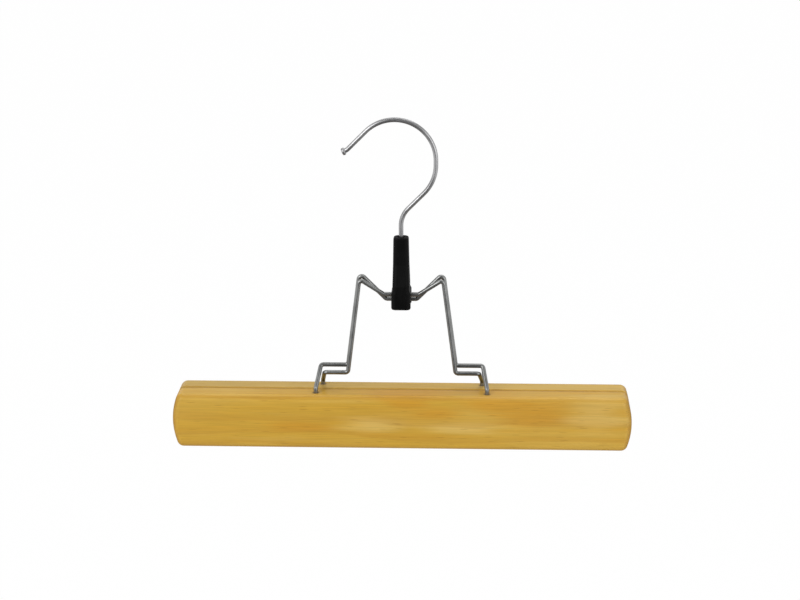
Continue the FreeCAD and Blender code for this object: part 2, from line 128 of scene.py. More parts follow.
class Value:
    """A socket's result. Sums, products and powers of it become Math nodes."""

    def __init__(self, wiring, socket):
        self.wiring = wiring
        self.socket = socket

    def __add__(self, other):
        return self.wiring.number("ADD", self, other)

    def __sub__(self, other):
        return self.wiring.number("SUBTRACT", self, other)

    def __rsub__(self, other):
        return self.wiring.number("SUBTRACT", other, self)

    def __mul__(self, other):
        return self.wiring.number("MULTIPLY", self, other)

    def __truediv__(self, other):
        return self.wiring.number("DIVIDE", self, other)

    def __pow__(self, power):
        return self.wiring.number("POWER", self, power)

    def __abs__(self):
        return self.wiring.number("ABSOLUTE", self)

    __radd__ = __add__
    __rmul__ = __mul__


def length_over(first, second):
    """The straight length over two offsets at right angles."""
    return (first ** 2 + second ** 2) ** 0.5


class Wiring:
    """A node tree of any kind, written as expressions."""

    def __init__(self, tree):
        self.tree = tree
        self.tree.nodes.clear()

    def add(self, kind, settings=None, sockets=None):
        """Adds one node: first its settings, then its sockets' values or links. Returns its results."""
        node = self.tree.nodes.new(kind)
        for name, setting in (settings or {}).items():
            setattr(node, name, setting)
        for identifier, content in (sockets or {}).items():
            socket = by_identifier(node.inputs, identifier)
            if isinstance(content, Value):
                self.tree.links.new(content.socket, socket)
            else:
                socket.default_value = content
        return {socket.identifier: Value(self, socket) for socket in node.outputs}

    def number(self, operation, *operands):
        sockets = dict(zip(("Value", "Value_001"), operands))
        return self.add("ShaderNodeMath", {"operation": operation}, sockets)["Value"]

    def vector(self, operation, *operands):
        sockets = dict(zip(("Vector", "Vector_001"), operands))
        return self.add("ShaderNodeVectorMath", {"operation": operation}, sockets)

    def axes(self, vector):
        parts = self.add("ShaderNodeSeparateXYZ", sockets={"Vector": vector})
        return parts["X"], parts["Y"], parts["Z"]

    def joined(self, **parts):
        """A vector from the parts that are given, by axis."""
        return self.add("ShaderNodeCombineXYZ", sockets=parts)["Vector"]

    def between(self, value, low, high, first=0.0, last=1.0):
        """A soft step that goes from first to last as the value goes from low to high."""
        sockets = {"Value": value, "From Min": low, "From Max": high, "To Min": first, "To Max": last}
        return self.add("ShaderNodeMapRange", {"interpolation_type": "SMOOTHSTEP"}, sockets)["Result"]

    def fading(self, value, low, high):
        """A soft step down from 1 to 0 as the value goes from low to high."""
        return self.between(value, low, high, 1.0, 0.0)

    def grey(self, value):
        """A number as a grey colour."""
        sockets = {"Red": value, "Green": value, "Blue": value}
        return self.add("ShaderNodeCombineColor", sockets=sockets)["Color"]


class Finish(Wiring):
    """One surface finish on Object coordinates, ending in a Principled shader.

    A grain says how often a pattern repeats in a metre along X, Y and Z, a band which part of a
    pattern's range shows, and a pigment is a colour and its strength.
    """

    def __init__(self, name):
        self.material = bpy.data.materials.new(name)
        self.material.use_nodes = True
        super().__init__(self.material.node_tree)
        coordinates = self.add("ShaderNodeTexCoord")
        self.place = coordinates["Object"]
        self.facing = coordinates["Normal"]

    def stretched(self, grain, drift=(0, 0, 0)):
        """The place on the piece, moved by a drift and then stretched along the axes."""
        moved = self.vector("ADD", self.place, drift)["Vector"]
        return self.vector("MULTIPLY", moved, grain)["Vector"]

    def clouds(self, vector, scale=1.0, detail=2.0, roughness=0.5, distortion=0.0):
        sockets = {"Vector": vector, "Scale": scale, "Detail": detail, "Roughness": roughness,
                   "Distortion": distortion}
        return self.add("ShaderNodeTexNoise", sockets=sockets)["Fac"]

    def cells(self, vector):
        return self.add("ShaderNodeTexVoronoi", sockets={"Vector": vector, "Scale": 1.0})

    def blend(self, share, first, second, mode="MIX"):
        settings = {"data_type": "RGBA", "blend_type": mode}
        sockets = {"Factor_Float": share, "A_Color": first, "B_Color": second}
        return self.add("ShaderNodeMix", settings, sockets)["Result_Color"]

    def coat(self, colour, cover, pigment):
        """Lays a pigment over a colour as far as the cover goes."""
        tone, strength = pigment
        return self.blend(cover * strength, colour, tone)

    def relief(self, height, strength, depth):
        sockets = {"Height": height, "Strength": strength, "Distance": depth}
        return self.add("ShaderNodeBump", sockets=sockets)["Normal"]

    def close(self, **sockets):
        """Ends the tree in a Principled shader whose sockets are named with underscores."""
        named = {name.replace("_", " "): content for name, content in sockets.items()}
        shader = self.add("ShaderNodeBsdfPrincipled", sockets=named)["BSDF"]
        self.add("ShaderNodeOutputMaterial", sockets={"Surface": shader})
        return self.material


# Varnished wood of the bars

RING_WIDTH = 2.9 * MM
RING_SWAY = 9 * MM
RING_SWAY_GRAIN = (7, 26, 26)
LATE_WOOD_RISE = (0.35, 0.9)
LATE_WOOD_END = (0.9, 1.0)
STREAK_GRAIN = (11, 190, 190)
AMBER_BAND = (0.48, 0.72)
CREAM_BAND = (0.25, 0.45)
BROAD_GRAIN = (10, 34, 34)
BROAD_BAND = (0.36, 0.62)
FIBRE_GRAIN = (40, 1500, 1500)
FIBRE_TINT = (0.25, 0.75, 0.90, 1.08)
HAIRLINE_GRAIN = (24, 4200, 4200)
HAIRLINE_TINT = (0.30, 0.70, 0.94, 1.05)
PORE_GRAIN = (80, 1250, 1250)
PORE_CHANCE = (0.45, 0.55)
PORE_RIM = (0.10, 0.26)
END_TURN = (0.55, 0.92)
EDGE_TURN = (0.80, 0.97)
EDGE_STREAKS = (0.30, 0.60, 0.7, 1.0)
STAIN_AND_SHADE_RIM = (1.3 * MM, 2.6 * MM)
STAIN_AND_SHADE_DEPTHS = (3 * MM, 1 * MM)
PATCH_RAGGEDNESS = 1.8
PATCH_RIM = (0.2, 1.3)

STRAW = paint(200, 157, 52)
HONEY = paint(205, 166, 70)
AMBER_STREAKS = (paint(199, 148, 40), 0.55)
CREAM_STREAKS = (paint(212, 177, 90), 0.4)
WARM_PATCHES = (paint(199, 144, 36), 0.75)
PALE_PATCHES = (paint(214, 180, 98), 0.7)
# painted sheen: a paler tone laid over a whole bar, standing in for the whitish sheen on its top face
PAINTED_SHEEN_PALE = (paint(206, 180, 108), 1.0)
LATE_WOOD = (paint(178, 126, 36), 0.26)
PORES = (paint(132, 88, 28), 0.4)
END_GRAIN = (paint(164, 118, 44), 0.5)
END_RINGS = (paint(112, 74, 26), 0.55)
# painted shade: the handled edges are also darkened in colour to dim the highlight on their rounding
HANDLED_AND_SHADED_EDGES = (paint(184, 139, 48), 0.6)
# the rims of the wire holes: a real stain, and painted shade where the wires go in
HOLE_STAINS_AND_SHADE = (paint(96, 62, 22), 0.6)

WOOD_ROUGHNESS = 0.40
FIBRE_ROUGHNESS = 0.14
END_ROUGHNESS = 0.14
PORE_ROUGHNESS = 0.1
EDGE_ROUGHNESS = 0.08
WOOD_SPECULAR = 0.2
VARNISH = 0.3
VARNISH_ROUGHNESS = 0.24
PORE_VARNISH_LOSS = 0.2
END_VARNISH_LOSS = 0.15
EDGE_VARNISH_LOSS = 0.12
FIBRE_RISE = 0.5
HAIRLINE_RISE = 0.2
PORE_DIP = 0.8
LATE_WOOD_DIP = 0.25
WOOD_RELIEF = {"strength": 0.22, "depth": 0.12 * MM}

# Each bar is cut from its own board: how far out its wire holes are, where the board's pith lay in
# Y and Z, its place in the grain, its warm and pale patches (centre x and z and half sizes, in
# millimetres), how much paler it is painted to stand in for sheen on its top and the tones of its two ends.
BOARDS = {
    "front_bar": {
        "hole_offset": 46.6 * MM,
        "pith": (0.041, -0.150),
        "drift": (0.31, 0.12, 0.07),
        "warm_spots": ((50, -152.5, 19, 5.8), (73, -156.5, 25, 9), (3, -152.5, 12, 3.8),
                       (19, -157.5, 17, 4.4), (-55, -165.5, 22, 3.5), (4, -147, 27, 3.4)),
        "pale_spots": ((106, -158, 17, 11), (33, -166, 23, 3.2), (-15, -164, 21, 5.5)),
        "sheen_paleness": 0.0,
        "end_tones": (1.0, 1.02),
    },
    "rear_bar": {
        "hole_offset": 43.8 * MM,
        "pith": (-0.036, -0.158),
        "drift": (0.73, 0.45, 0.29),
        "warm_spots": ((-40, -158, 26, 5), (66, -168, 20, 4), (95, -154, 14, 3)),
        "pale_spots": ((12, -160, 24, 5), (-96, -166, 16, 6)),
        # painted sheen: the rear bar is paled all over to stand in for the sheen on its top
        "sheen_paleness": 0.35,
        "end_tones": (0.86, 1.02),
    },
}


def clouded(finish, x, z, ragged, spots):
    """1 inside soft ragged patches, each given by its centre and half sizes in millimetres."""
    cover = 0.0
    for centre_x, centre_z, half_x, half_z in spots:
        across, up = (x / MM - centre_x) / half_x, (z / MM - centre_z) / half_z
        off_centre = length_over(across, up) + (ragged - 0.5) * PATCH_RAGGEDNESS
        cover = cover + finish.fading(off_centre, *PATCH_RIM)
    return finish.number("MINIMUM", cover, 1.0)


def varnished_wood(bar, hole_offset, pith, drift, warm_spots, pale_spots, sheen_paleness, end_tones):
    """Pale straight-grained wood under satin varnish; the growth rings turn round a pith along X."""
    finish = Finish(f"{bar}_wood")
    low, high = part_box(bar)
    x, y, z = finish.axes(finish.place)
    along, outward, upward = (abs(part) for part in finish.axes(finish.facing))

    # growth rings, streaks, fibres and pores
    sway = finish.clouds(finish.stretched(RING_SWAY_GRAIN, drift), detail=3.0)
    pith_y, pith_z = pith
    from_pith = length_over(y - pith_y, z - pith_z) + sway * RING_SWAY
    ring = finish.number("FRACT", from_pith / RING_WIDTH)
    late_wood = finish.between(ring, *LATE_WOOD_RISE) * finish.fading(ring, *LATE_WOOD_END)
    streaks = finish.clouds(finish.stretched(STREAK_GRAIN, drift), detail=4.0, roughness=0.55)
    broad = finish.clouds(finish.stretched(BROAD_GRAIN, drift), detail=2.0)
    fibres = finish.clouds(finish.stretched(FIBRE_GRAIN, drift), detail=5.0, roughness=0.65)
    hairlines = finish.clouds(finish.stretched(HAIRLINE_GRAIN, drift), detail=4.0, roughness=0.7)
    pores = finish.cells(finish.stretched(PORE_GRAIN, drift))
    rare = finish.between(finish.axes(pores["Color"])[0], *PORE_CHANCE)
    pore = finish.fading(pores["Distance"], *PORE_RIM) * rare

    # sawn ends; handled edges, worn and also painted darker to dim the highlight on their rounding; and the
    # rims of the wire holes, stained and also painted with shade where the wires go in
    end_grain = finish.between(along, *END_TURN)
    flattest = finish.number("MAXIMUM", finish.number("MAXIMUM", along, outward), upward)
    # handled edges: real wear in roughness and varnish, and painted shade that darkens the highlight on the
    # rounding
    handled_and_shaded = finish.fading(flattest, *EDGE_TURN) * finish.between(streaks, *EDGE_STREAKS)
    hole_y, top = (low[1] + high[1]) / 2, high[2]
    off_hole = length_over(abs(x) - hole_offset, y - hole_y)
    near_top = finish.between(z, *(top - depth for depth in STAIN_AND_SHADE_DEPTHS))
    # the rims of the wire holes: a real stain, and painted shade where the wires go in
    stain_and_shade = finish.fading(off_hole, *STAIN_AND_SHADE_RIM) * near_top

    colour = finish.blend(finish.between(broad, *BROAD_BAND), STRAW, HONEY)
    for cover, pigment in (
        (finish.between(streaks, *AMBER_BAND), AMBER_STREAKS),
        (finish.fading(streaks, *CREAM_BAND), CREAM_STREAKS),
        (clouded(finish, x, z, streaks, warm_spots), WARM_PATCHES),
        (clouded(finish, x, z, streaks, pale_spots), PALE_PATCHES),
        # painted sheen, laid as a paler tone over the whole bar
        (sheen_paleness, PAINTED_SHEEN_PALE),
        (late_wood, LATE_WOOD),
        (pore, PORES),
        (end_grain, END_GRAIN),
        (late_wood * end_grain, END_RINGS),
        # painted shade over the handled edges, along with their wear
        (handled_and_shaded, HANDLED_AND_SHADED_EDGES),
        # stain and painted shade at the wire holes
        (stain_and_shade, HOLE_STAINS_AND_SHADE),
    ):
        colour = finish.coat(colour, cover, pigment)
    tint = finish.between(fibres, *FIBRE_TINT) * finish.between(hairlines, *HAIRLINE_TINT)
    tint = tint * finish.between(x, low[0], high[0], *end_tones)
    colour = finish.blend(1.0, colour, finish.grey(tint), "MULTIPLY")

    roughness = WOOD_ROUGHNESS + fibres * FIBRE_ROUGHNESS + end_grain * END_ROUGHNESS
    roughness = roughness + pore * PORE_ROUGHNESS + handled_and_shaded * EDGE_ROUGHNESS
    varnish = VARNISH - pore * PORE_VARNISH_LOSS - end_grain * END_VARNISH_LOSS
    height = fibres * FIBRE_RISE + hairlines * HAIRLINE_RISE - pore * PORE_DIP - late_wood * LATE_WOOD_DIP
    return finish.close(
        Base_Color=colour,
        Roughness=roughness,
        Specular_IOR_Level=WOOD_SPECULAR,
        Coat_Weight=varnish - handled_and_shaded * EDGE_VARNISH_LOSS,
        Coat_Roughness=VARNISH_ROUGHNESS,
        Normal=finish.relief(height, **WOOD_RELIEF),
    )


# Plated wire of the hook and the frames

DULL_PLACE_GRAIN = (70, 70, 70)
DULL_PLACE_BAND = (0.32, 0.68)
SPECK_GRAIN = (2200, 2200, 2200)
SPECK_BAND = (0.62, 0.75)
SPECK_STRENGTH = 0.35
RUB_GRAIN = (420, 420, 1500)
RUB_BAND = (0.58, 0.70)
SCORE_GRAIN = (2400, 160, 2400)
SCORE_TINT = (0.25, 0.6, 0.5, 1.0)
WORN_CORE_SHARE = 0.4
WORN_STRENGTH = 0.6
DARK_PLATING_SHARE = 0.72
BRIGHT_PLATING_SHARE = 1.12
BARE_STEEL_SHARE = 0.55
PLATING_ROUGHNESS = 0.24
DULL_ROUGHNESS = 0.14
RUB_ROUGHNESS = 0.10
WORN_ROUGHNESS = 0.06
RUB_RISE = 0.6
SPECK_RISE = 0.4
SCORE_RISE = 0.8
PLATING_RELIEF = {"strength": 0.05, "depth": 0.03 * MM}

HOOK_TONE = paint(162, 162, 163)
HOOK_DRIFT = (0.2, 0.1, 0.4)
HOOK_WORN_REACH = 19 * MM
FRAME_TONE = paint(134, 135, 134)
FRAME_DRIFT = (0.5, 0.3, 0.1)
FRAME_WORN_REACH = 14 * MM


def plated_wire(name, tone, drift, worn_spot, worn_reach):
    """Drawn steel wire under a thin bright plating, with dull places and fine rubbed marks, and
    worn where something slides on it."""
    finish = Finish(name)
    dull = finish.clouds(finish.stretched(DULL_PLACE_GRAIN, drift), detail=4.0, roughness=0.6)
    specks = finish.clouds(finish.stretched(SPECK_GRAIN, drift), detail=3.0)
    marks = finish.clouds(finish.stretched(RUB_GRAIN, drift), detail=3.0, distortion=1.2)
    rubbed = finish.between(marks, *RUB_BAND)
    scored = finish.clouds(finish.stretched(SCORE_GRAIN, drift), detail=3.0)
    off_spot = finish.vector("DISTANCE", finish.place, worn_spot)["Value"]
    worn_core = finish.fading(off_spot, worn_reach * WORN_CORE_SHARE, worn_reach)
    worn = worn_core * finish.between(scored, *SCORE_TINT)
    darker, lighter = toned(tone, DARK_PLATING_SHARE), toned(tone, BRIGHT_PLATING_SHARE)
    bare_steel = toned(tone, BARE_STEEL_SHARE)
    colour = finish.blend(finish.between(dull, *DULL_PLACE_BAND), darker, lighter)
    colour = finish.coat(colour, finish.between(specks, *SPECK_BAND), (darker, SPECK_STRENGTH))
    colour = finish.coat(colour, worn, (bare_steel, WORN_STRENGTH))
    roughness = PLATING_ROUGHNESS + dull * DULL_ROUGHNESS + rubbed * RUB_ROUGHNESS
    height = marks * RUB_RISE + specks * SPECK_RISE + worn * scored * SCORE_RISE
    return finish.close(
        Base_Color=colour,
        Metallic=1.0,
        Roughness=roughness + worn * WORN_ROUGHNESS,
        Normal=finish.relief(height, **PLATING_RELIEF),
    )


# Black plastic of the sleeve

SKIN_SCALE = 2600.0
FADED_GRAIN = (160, 160, 60)
FADED_BAND = (0.35, 0.7)
SCUFF_GRAIN = (900, 900, 240)
SCUFF_BAND = (0.60, 0.72)
PARTING_RIM = (0.05 * MM, 0.22 * MM)
GRIP_HEIGHT = 14 * MM
JET = paint(5, 5, 5)
SOOT = paint(10, 10, 10)
SCUFFS = (paint(26, 26, 27), 0.2)
PLASTIC_ROUGHNESS = 0.46
FADED_ROUGHNESS = 0.16
GRIP_POLISH = 0.08
SCUFF_ROUGHNESS = 0.1
PLASTIC_SPECULAR = 0.08
SKIN_RISE = 0.35
SCUFF_DIP = 0.3
PLASTIC_RELIEF = {"strength": 0.25, "depth": 0.08 * MM}


def black_plastic(name, foot_level):
    """Satin black moulded plastic with a fine-grained skin, a parting line and a gripped foot."""
    finish = Finish(name)
    _, y, z = finish.axes(finish.place)
    skin = finish.clouds(finish.place, scale=SKIN_SCALE, detail=3.0)
    faded = finish.clouds(finish.stretched(FADED_GRAIN), detail=4.0, roughness=0.6)
    scratches = finish.clouds(finish.stretched(SCUFF_GRAIN), detail=3.0, distortion=0.8)
    scuffs = finish.between(scratches, *SCUFF_BAND)
    parting = finish.fading(abs(y), *PARTING_RIM)
    gripped = finish.fading(z, foot_level, foot_level + GRIP_HEIGHT)
    colour = finish.blend(finish.between(faded, *FADED_BAND), JET, SOOT)
    roughness = PLASTIC_ROUGHNESS + faded * FADED_ROUGHNESS - gripped * GRIP_POLISH
    return finish.close(
        Base_Color=finish.coat(colour, scuffs, SCUFFS),
        Roughness=roughness + scuffs * SCUFF_ROUGHNESS,
        Specular_IOR_Level=PLASTIC_SPECULAR,
        Normal=finish.relief(skin * SKIN_RISE + parting - scuffs * SCUFF_DIP, **PLASTIC_RELIEF),
    )


# Rolled steel of the stirrup

ROLLED_GRAIN = (4000, 260, 260)
ROLLED_BAND = (0.3, 0.7)
ROLLED_DARK = paint(128, 128, 130)
ROLLED_BRIGHT = paint(172, 172, 174)
STRIP_CLOUD_SCALE = 240.0
STRIP_ROUGHNESS = 0.3
STRIP_CLOUD_ROUGHNESS = 0.2
STRIP_RELIEF = {"strength": 0.15, "depth": 0.04 * MM}


def steel_strip(name):
    """Bright rolled strip with fine lines along its bend."""
    finish = Finish(name)
    lines = finish.clouds(finish.stretched(ROLLED_GRAIN), detail=3.0)
    dull = finish.clouds(finish.place, scale=STRIP_CLOUD_SCALE, detail=3.0)
    return finish.close(
        Base_Color=finish.blend(finish.between(lines, *ROLLED_BAND), ROLLED_DARK, ROLLED_BRIGHT),
        Metallic=1.0,
        Roughness=STRIP_ROUGHNESS + dull * STRIP_CLOUD_ROUGHNESS,
        Normal=finish.relief(lines, **STRIP_RELIEF),
    )


# Pressed felt

MATTED_GRAIN = (1500, 1500, 1500)
MATTED_BAND = (0.3, 0.7)
STRAND_GRAIN = (700, 700, 2600)
STRAND_BAND = (0.6, 0.72)
FELT_PATCH_GRAIN = (140, 140, 140)
FELT_PATCH_BAND = (0.35, 0.7)
DARK_TAN = paint(146, 104, 48)
LIGHT_TAN = paint(190, 148, 84)
FELT_PATCHES = (paint(172, 124, 56), 0.4)
FELT_STRANDS = (paint(206, 172, 112), 0.5)
FELT_ROUGHNESS = 0.88
MATTED_ROUGHNESS = 0.1
FELT_SPECULAR = 0.1
FELT_SHEEN = 0.25
FELT_SHEEN_ROUGHNESS = 0.5
STRAND_RISE = 0.7
FELT_RELIEF = {"strength": 0.6, "depth": 0.12 * MM}


def pressed_felt(name, drift):
    """Tan pressed felt: matted fibres in every direction, thinner and thicker places."""
    finish = Finish(name)
    matted = finish.clouds(finish.stretched(MATTED_GRAIN, drift), detail=5.0, roughness=0.7, distortion=1.6)
    strands = finish.clouds(finish.stretched(STRAND_GRAIN, drift), detail=3.0, distortion=2.2)
    patches = finish.clouds(finish.stretched(FELT_PATCH_GRAIN, drift), detail=3.0)
    colour = finish.blend(finish.between(matted, *MATTED_BAND), DARK_TAN, LIGHT_TAN)
    colour = finish.coat(colour, finish.between(patches, *FELT_PATCH_BAND), FELT_PATCHES)
    colour = finish.coat(colour, finish.between(strands, *STRAND_BAND), FELT_STRANDS)
    return finish.close(
        Base_Color=colour,
        Roughness=FELT_ROUGHNESS + matted * MATTED_ROUGHNESS,
        Specular_IOR_Level=FELT_SPECULAR,
        Sheen_Weight=FELT_SHEEN,
        Sheen_Roughness=FELT_SHEEN_ROUGHNESS,
        Normal=finish.relief(matted + strands * STRAND_RISE, **FELT_RELIEF),
    )


# Felt strips

FELT_CORNER = 2.5 * MM
FELT_RIM = (0.0, 0.05 * MM, 0.14 * MM, 0.26 * MM, 0.40 * MM)
FELT_STEP = 1.6 * MM
FELT_CUT_WOBBLE = 0.16 * MM
FELT_CUT_WAVES = 0.21
FELT_CUT_ZONE = 2 * MM
FELT_DIMPLE = 0.06 * MM
FELT_DIMPLE_WAVES = 0.6


def steps_across(half):
    """Places across one side of a strip: close together near both cut edges, even between them."""
    inner = half - FELT_RIM[-1]
    count = max(2, round(2 * inner / FELT_STEP))
    middle = [-inner + 2 * inner * index / count for index in range(1, count)]
    edge = [half - depth for depth in FELT_RIM]
    return [-place for place in edge] + middle + list(reversed(edge))


def into_round_corner(x, z, half_x, half_z):
    """Draws the square corner of the strip's grid into its round cut corner."""
    over_x, over_z = abs(x) - half_x + FELT_CORNER, abs(z) - half_z + FELT_CORNER
    if over_x <= 0 or over_z <= 0:
        return x, z
    pull = max(over_x, over_z) / math.hypot(over_x, over_z)
    return (math.copysign(half_x - FELT_CORNER + over_x * pull, x),
            math.copysign(half_z - FELT_CORNER + over_z * pull, z))


def rounding(depth):
    """How much of the felt's half thickness is left at a depth from the cut edge."""
    share = min(depth / FELT_RIM[-1], 1.0)
    return math.sqrt(1.0 - (1.0 - share) ** 2)


def waves(spot, per_mm):
    """An even random wave from 0 to 1 over a spot in millimetres."""
    return (1.0 + noise.noise(spot * per_mm)) / 2


def felt_strip(name, node, free_side):
    """A strip of pressed felt in the place of its solid: hand-cut edges, a dimpled free face."""
    low, high = (Vector(corner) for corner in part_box(node))
    centre, half = (low + high) / 2, (high - low) / 2
    columns, rows = steps_across(half.x), steps_across(half.z)
    points, faces, index = [], [], {}

    def vertex(layer, column, row):
        on_edge = column in (0, len(columns) - 1) or row in (0, len(rows) - 1)
        key = (0 if on_edge else layer, column, row)
        if key in index:
            return index[key]
        x, z = columns[column], rows[row]
        depth = min(half.x - abs(x), half.z - abs(z))
        x, z = into_round_corner(x, z, half.x, half.z)
        spot = Vector((x, layer, z)) / MM
        wobble = FELT_CUT_WOBBLE * waves(spot, FELT_CUT_WAVES) * max(0.0, 1.0 - depth / FELT_CUT_ZONE)
        y = 0.0 if on_edge else layer * half.y * rounding(depth)
        if layer == free_side and not on_edge:
            y -= layer * FELT_DIMPLE * waves(spot, FELT_DIMPLE_WAVES) * rounding(depth)
        index[key] = len(points)
        points.append(centre + Vector((x * (1.0 - wobble / half.x), y, z * (1.0 - wobble / half.z))))
        return index[key]

    for layer in (-1, 1):
        for column in range(len(columns) - 1):
            for row in range(len(rows) - 1):
                corners = [vertex(layer, column, row), vertex(layer, column + 1, row),
                           vertex(layer, column + 1, row + 1), vertex(layer, column, row + 1)]
                faces.append(corners if layer < 0 else corners[::-1])
    mesh = bpy.data.meshes.new(name)
    mesh.from_pydata(points, [], faces)
    mesh.validate()
    mesh.shade_smooth()
    strip = bpy.data.objects.new(name, mesh)
    bpy.context.scene.collection.objects.link(strip)
    return strip


# Loose fibres of the felts

FUZZ_INPUTS = (("Felt", "Geometry"), ("Density", "Float"), ("Fibre Length", "Float"),
               ("Fibre Radius", "Float"), ("Free Side", "Vector"), ("Seed", "Int"), ("Finish", "Material"))
FUZZ_DENSITY = 700000.0
FIBRE_LENGTH = 0.8 * MM
FIBRE_RADIUS = 0.014 * MM
FIBRE_SIDES = 3
FIBRE_STEPS = 3
FIBRE_BELLY_SHARE = 0.16
FIBRE_BELLY_LEVEL_SHARE = 0.5
FIBRE_END_SHARE = -0.1
FIBRE_SIZES = (0.45, 1.0)
GLUED_FACING = -0.3
RIM_FACING = (0.35, 0.95)
FLAT_TILTS = (math.radians(81), math.radians(88))
RIM_TILTS = (math.radians(15), math.radians(75))
ALL_ROUND = (0.0, math.tau)
FLAT_TILT_DRAW, RIM_TILT_DRAW, SPIN_DRAW, SIZE_DRAW = 1, 2, 3, 4


def fuzz_tree():
    """Short bent fibres over a felt: nearly flat on its free face, standing up along its cut edges."""
    tree = bpy.data.node_groups.new("felt_fuzz", "GeometryNodeTree")
    wiring = Wiring(tree)

    def socket(name, way, kind):
        return tree.interface.new_socket(name, in_out=way, socket_type=f"NodeSocket{kind}").identifier

    inputs = {name: socket(name, "INPUT", kind) for name, kind in FUZZ_INPUTS}
    outlet = socket("Fuzz", "OUTPUT", "Geometry")
    results = wiring.add("NodeGroupInput")
    given = {name: results[identifier] for name, identifier in inputs.items()}

    def chance(limits, draw):
        low, high = limits
        return wiring.add("FunctionNodeRandomValue", {"data_type": "FLOAT"}, {
            "Min_001": low, "Max_001": high, "Seed": given["Seed"] + draw})["Value_001"]

    def turned(rotation, axis, angle):
        turn = wiring.add("FunctionNodeEulerToRotation", sockets={
            "Euler": wiring.joined(**{axis: angle})})["Rotation"]
        return wiring.add("FunctionNodeRotateRotation", {"rotation_space": "LOCAL"}, {
            "Rotation": rotation, "Rotate By": turn})["Rotation"]

    # places on every face but the glued one
    facing = wiring.add("GeometryNodeInputNormal")["Normal"]
    freedom = wiring.vector("DOT_PRODUCT", facing, given["Free Side"])["Value"]
    shows = wiring.add("FunctionNodeCompare", {"data_type": "FLOAT", "operation": "GREATER_THAN"}, {
        "A": freedom, "B": GLUED_FACING})["Result"]
    scattered = wiring.add("GeometryNodeDistributePointsOnFaces", {"distribute_method": "RANDOM"}, {
        "Mesh": given["Felt"], "Selection": shows, "Density": given["Density"], "Seed": given["Seed"]})

    # each fibre's lean
    open_share = wiring.vector("DOT_PRODUCT", scattered["Normal"], given["Free Side"])["Value"]
    rim = wiring.fading(open_share, *RIM_FACING)
    flat_tilt = chance(FLAT_TILTS, FLAT_TILT_DRAW)
    rim_tilt = chance(RIM_TILTS, RIM_TILT_DRAW)
    tilt = flat_tilt + (rim_tilt - flat_tilt) * rim
    spin = chance(ALL_ROUND, SPIN_DRAW)
    rotation = turned(turned(scattered["Rotation"], "Z", spin), "X", tilt)

    # one bent fibre, laid on every place
    length = given["Fibre Length"]
    belly = wiring.joined(X=length * FIBRE_BELLY_SHARE, Z=length * FIBRE_BELLY_LEVEL_SHARE)
    end = wiring.joined(X=length * FIBRE_END_SHARE, Z=length)
    bent = wiring.add("GeometryNodeCurveQuadraticBezier", sockets={
        "Resolution": FIBRE_STEPS, "Start": (0, 0, 0), "Middle": belly, "End": end})["Curve"]
    section = wiring.add("GeometryNodeCurvePrimitiveCircle", sockets={
        "Resolution": FIBRE_SIDES, "Radius": given["Fibre Radius"]})["Curve"]
    fibre = wiring.add("GeometryNodeCurveToMesh", sockets={
        "Curve": bent, "Profile Curve": section})["Mesh"]
    size = chance(FIBRE_SIZES, SIZE_DRAW)
    placed = wiring.add("GeometryNodeInstanceOnPoints", sockets={
        "Points": scattered["Points"], "Instance": fibre, "Rotation": rotation,
        "Scale": wiring.joined(X=size, Y=size, Z=size)})["Instances"]
    whole = wiring.add("GeometryNodeRealizeInstances", sockets={"Geometry": placed})["Geometry"]
    dressed = wiring.add("GeometryNodeSetMaterial", sockets={
        "Geometry": whole, "Material": given["Finish"]})["Geometry"]
    wiring.add("NodeGroupOutput", sockets={outlet: dressed})
    return tree, inputs


def felt_fuzz(name, strip, tree, inputs, sizes):
    """The loose fibres of one felt strip as a plain mesh."""
    fuzz = bpy.data.objects.new(name, strip.data.copy())
    bpy.context.scene.collection.objects.link(fuzz)
    modifier = fuzz.modifiers.new("fuzz", "NODES")
    modifier.node_group = tree
    for label, size in sizes.items():
        modifier[inputs[label]] = size
    depsgraph = bpy.context.evaluated_depsgraph_get()
    fuzz.data = bpy.data.meshes.new_from_object(fuzz.evaluated_get(depsgraph))
    fuzz.modifiers.clear()
    return fuzz


# Studio

def seen_directly(wiring):
    """1 for rays from the camera, a reflection or a clear material and 0 for scattered light, and
    the same for reflections alone."""
    rays = wiring.add("ShaderNodeLightPath")
    reflected = wiring.number("MINIMUM", rays["Is Glossy Ray"] + rays["Is Transmission Ray"], 1.0)
    return wiring.number("MAXIMUM", rays["Is Camera Ray"], reflected), reflected


def light_world():
    """A white room: plain soft light, and in reflections bright walls beside a dimmer middle."""
    world = bpy.data.worlds.new("white_studio")
    world.use_nodes = True
    wiring = Wiring(world.node_tree)
    seen, reflected = seen_directly(wiring)
    across, away, _ = wiring.axes(wiring.add("ShaderNodeTexCoord")["Generated"])
    middle = wiring.between(away, *MIRRORED_BACKDROP_TURN, MIRRORED_DIM, MIRRORED_BACKDROP)
    walls = wiring.between(abs(across), *MIRRORED_WALLS)
    room = 1 - reflected * (1 - walls) * (1 - middle)
    strength = WORLD_LIGHT + seen * (room - WORLD_LIGHT)
    background = wiring.add("ShaderNodeBackground", sockets={
        "Color": WHITE, "Strength": strength})["Background"]
    wiring.add("ShaderNodeOutputWorld", sockets={"Surface": background})
    bpy.context.scene.world = world


